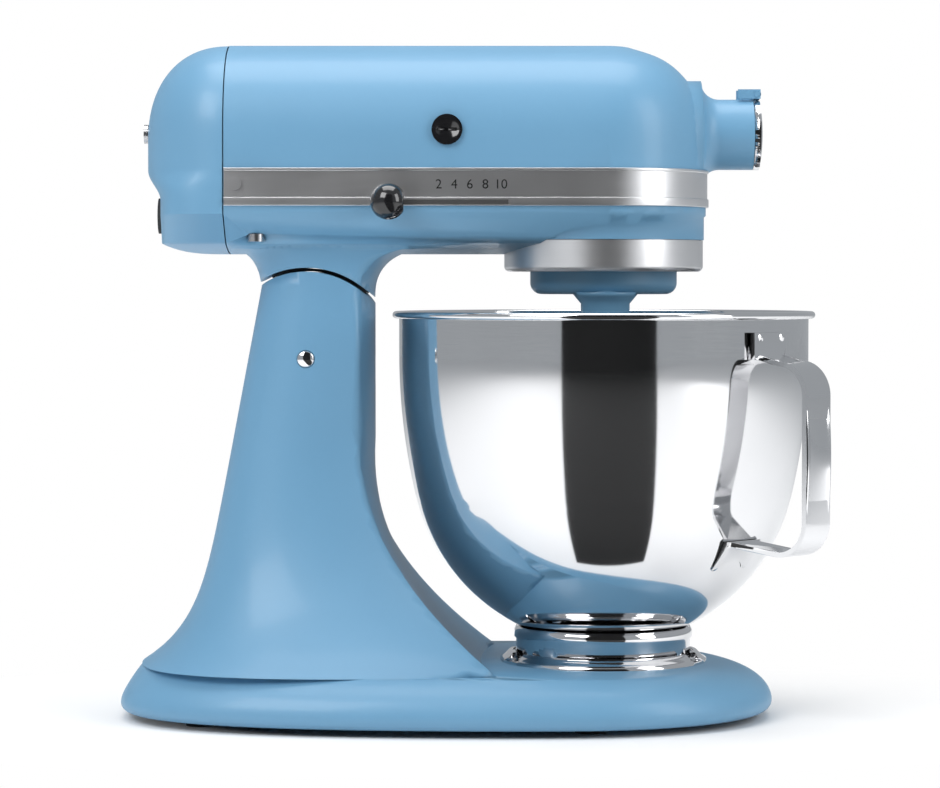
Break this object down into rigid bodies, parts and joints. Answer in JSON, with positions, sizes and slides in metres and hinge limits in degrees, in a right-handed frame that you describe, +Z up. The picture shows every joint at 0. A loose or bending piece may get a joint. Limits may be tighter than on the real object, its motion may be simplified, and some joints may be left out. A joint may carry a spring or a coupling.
{
  "type": "stand mixer",
  "caption": "tilt-head stand mixer with a planetary agitator, a twist-lock steel bowl with a strap handle, and an attachment hub on its nose",
  "frame": {"origin": "middle of the whole object's outline on the table, under the feet", "axes": "+X to the front, where the hub and bowl are, +Y away from the speed lever, +Z up"},
  "size_m": [0.3734, 0.227, 0.36],
  "materials": {
    "blue_paint": "satin",
    "polished_steel": "polished",
    "band_steel": "brushed",
    "black_gloss": "gloss",
    "rubber": "matte",
    "machined_steel": "machined",
    "aluminium": "satin",
    "bronze": "machined",
    "core_iron": "laminated",
    "plain_plastic": "matte",
    "board": "satin"
  },
  "bodies": {
    "stand": {"base_casting": "blue_paint", "rubber_feet": "rubber", "column_screws": "machined_steel", "column_casting": "blue_paint", "hinge_pin": "polished_steel", "clamp_plate": "polished_steel", "clamp_screws": "machined_steel"},
    "lock": {"lock_bolt": "machined_steel", "lock_lever": "black_gloss"},
    "head": {"head_housing": "blue_paint", "neck_screws": "machined_steel", "end_cover": "blue_paint", "end_cover_screw": "machined_steel", "cord_gland": "rubber", "trim_band": "band_steel", "trim_screws": "band_steel", "hub_bush": "bronze", "hub_cover_hinge": "polished_steel", "lower_gearcase": "aluminium", "gearcase_screws": "machined_steel", "centre_bush": "bronze", "ring_gear": "machined_steel", "drip_ring": "polished_steel", "stator": "core_iron", "motor_bearings": "machined_steel", "bearing_brackets": "aluminium", "brush_holders": "black_gloss", "carbon_brushes": "plain_plastic", "brush_caps": "black_gloss", "control_board": "board"},
    "speed": {"speed_lever": "machined_steel", "speed_knob": "black_gloss"},
    "cover": {"hub_cover": "polished_steel"},
    "clamp_knob": {"attachment_knob": "black_gloss"},
    "planetary": {"planetary_hub": "aluminium", "centre_shaft": "machined_steel", "centre_gear": "machined_steel", "centre_bevel": "machined_steel"},
    "agitator": {"agitator_shaft": "machined_steel", "cross_pin": "machined_steel", "planet_pinion": "machined_steel", "flat_beater": "aluminium"},
    "wheel": {"wheel_shaft": "machined_steel", "drive_pinion": "machined_steel", "worm_wheel": "bronze"},
    "hub_drive": {"hub_bevel": "machined_steel", "hub_spindle": "machined_steel"},
    "armature": {"armature_shaft": "machined_steel", "armature_core": "core_iron", "commutator": "bronze", "cooling_fan": "plain_plastic"},
    "bowl": {"bowl": "polished_steel", "bowl_foot": "polished_steel", "bowl_handle": "polished_steel"}
  },
  "joints": [
    {"name": "head_tilt", "type": "hinge", "parent": "stand", "child": "head", "pos_m": [-0.08545, 0, 0.1928], "axis": [0, -1, 0], "range_deg": [0, 45]},
    {"name": "lock_slide", "type": "slide", "parent": "stand", "child": "lock", "axis": [-1, 0, 0], "range_m": [0, 0.012]},
    {"name": "speed_slide", "type": "slide", "parent": "head", "child": "speed", "axis": [1, 0, 0], "range_m": [0, 0.058]},
    {"name": "hub_cover_flip", "type": "hinge", "parent": "head", "child": "cover", "pos_m": [0.15525, 0, 0.3343], "axis": [0, -1, 0], "range_deg": [0, 100]},
    {"name": "clamp_knob_turn", "type": "hinge", "parent": "head", "child": "clamp_knob", "pos_m": [0.13935, 0, 0.3127], "axis": [0, 1, 0], "range_deg": [0, 340]},
    {"name": "armature_spin", "type": "hinge", "parent": "head", "child": "armature", "pos_m": [-0.02665, 0, 0.313], "axis": [1, 0, 0], "continuous": true},
    {"name": "wheel_spin", "type": "hinge", "parent": "head", "child": "wheel", "pos_m": [0.0304, 0.0275, 0.313], "axis": [0, 0, 1], "continuous": true},
    {"name": "planetary_spin", "type": "hinge", "parent": "head", "child": "planetary", "pos_m": [0.07335, 0, 0.24], "axis": [0, 0, 1], "continuous": true},
    {"name": "agitator_spin", "type": "hinge", "parent": "planetary", "child": "agitator", "pos_m": [0.07335, -0.025, 0.24], "axis": [0, 0, 1], "continuous": true},
    {"name": "hub_spin", "type": "hinge", "parent": "head", "child": "hub_drive", "pos_m": [0.10335, 0, 0.3127], "axis": [1, 0, 0], "continuous": true},
    {"name": "bowl_twist", "type": "hinge", "parent": "stand", "child": "bowl", "pos_m": [0.07335, 0, 0.031], "axis": [0, 0, -1], "range_deg": [0, 25]}
  ],
  "couplings": [
    {"joint": "wheel_spin", "follows": "armature_spin", "ratio": -0.076923},
    {"joint": "planetary_spin", "follows": "armature_spin", "ratio": 0.025641},
    {"joint": "agitator_spin", "follows": "armature_spin", "ratio": -0.089744},
    {"joint": "hub_spin", "follows": "armature_spin", "ratio": 0.025641}
  ]
}
